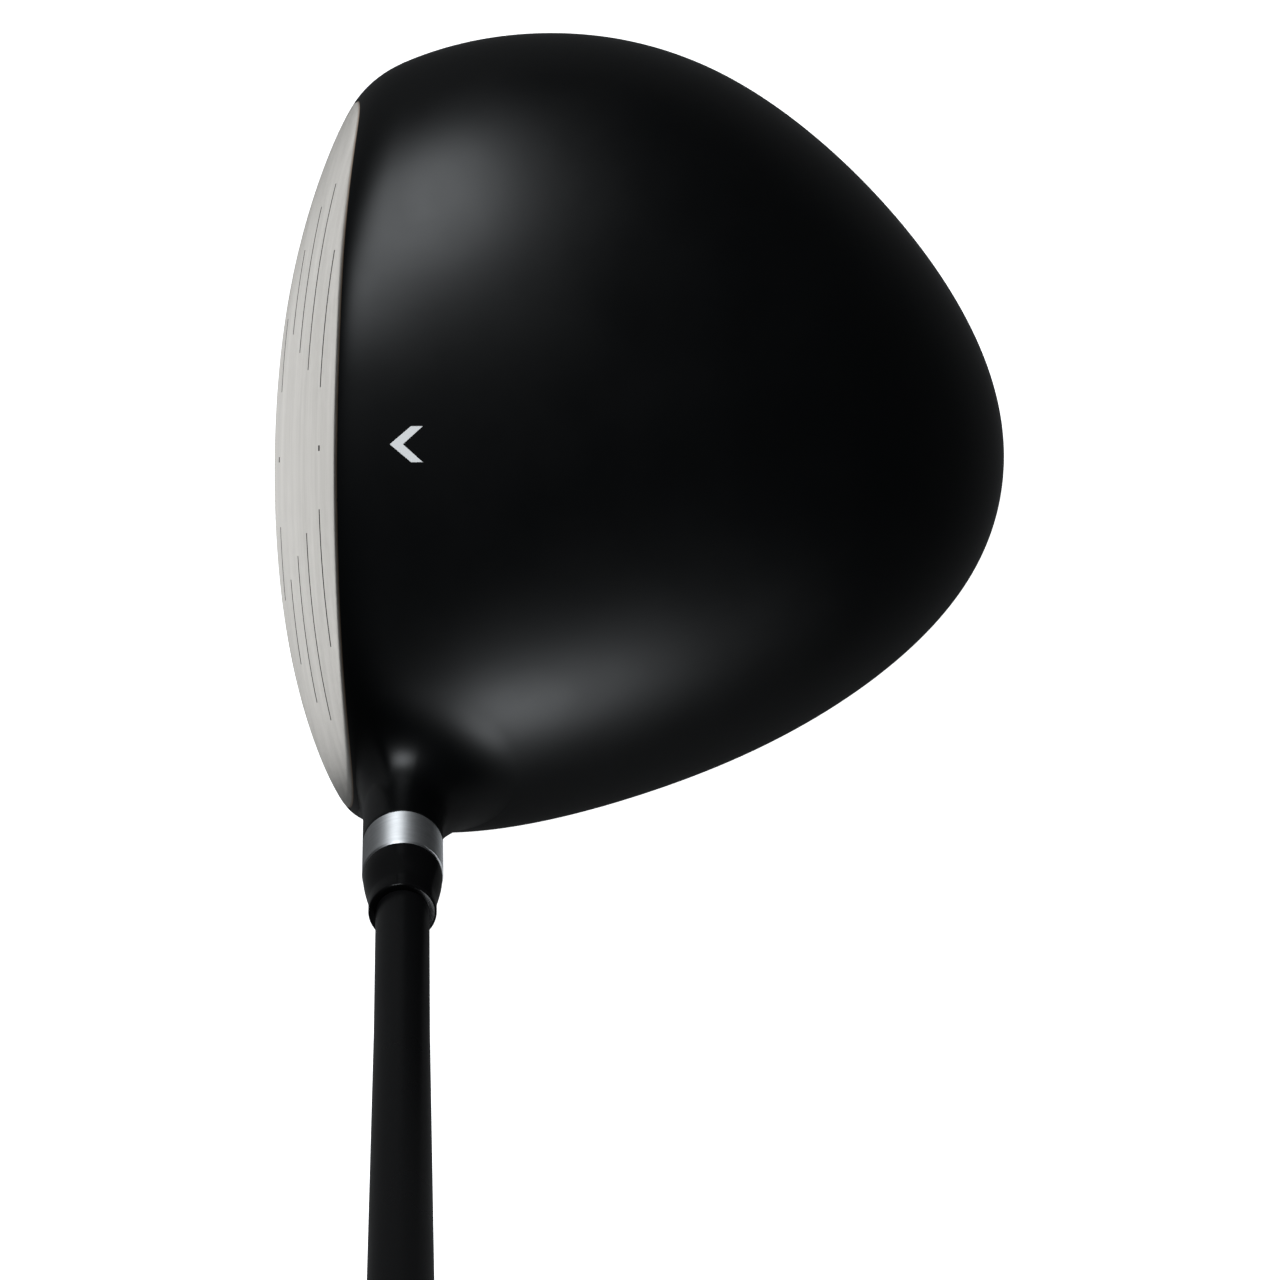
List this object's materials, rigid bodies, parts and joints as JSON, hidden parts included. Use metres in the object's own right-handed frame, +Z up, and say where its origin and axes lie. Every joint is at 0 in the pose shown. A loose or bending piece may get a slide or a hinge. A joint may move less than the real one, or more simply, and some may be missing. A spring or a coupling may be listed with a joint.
{
  "type": "golf driver",
  "caption": "Right-handed golf driver: hollow wood-type head with a lofted metal face, bonded neck, trim ring and ferrule, tapered shaft and rubber grip.",
  "frame": {"origin": "centre of the flat round pad that the sole rests on, on the ground at address", "axes": "+Z up, -Y where the face looks, -X towards the toe, +X towards the heel, the shaft and the grip"},
  "size_m": [0.6847, 0.1238, 0.996],
  "materials": {
    "matt_black_paint": "matt black paint",
    "sole_paint": "satin black paint",
    "face_metal": "finely brushed titanium, bare",
    "bare_titanium": "machined titanium",
    "white_nylon": "plain nylon",
    "black_rubber": "smooth rubber",
    "tungsten": "sintered tungsten, turned",
    "plated_steel": "brushed and plated",
    "amber_glue": "set hot-melt glue",
    "turned_aluminium": "fine turned aluminium",
    "gloss_black_plastic": "polished black plastic",
    "black_shaft_paint": "satin black paint on graphite",
    "brass": "turned brass",
    "tape": "double-sided paper tape",
    "grip_rubber": "moulded rubber with a fine pattern"
  },
  "bodies": {
    "root": {"crown_shell": "matt_black_paint", "skirt_shell": "matt_black_paint", "sole_shell": "sole_paint", "face_plate": "face_metal", "hosel_neck": "matt_black_paint", "hosel_tube": "bare_titanium", "tube_plug": "white_nylon", "weight_boss": "bare_titanium", "weight_washer": "black_rubber", "weight_slug": "tungsten", "weight_screw": "plated_steel", "sole_pad": "plated_steel", "hot_melt": "amber_glue", "trim_ring": "turned_aluminium", "ferrule": "gloss_black_plastic", "shaft": "black_shaft_paint", "tip_weight": "brass", "grip_tape": "tape", "grip_sleeve": "grip_rubber", "grip_cap": "grip_rubber"}
  },
  "joints": []
}
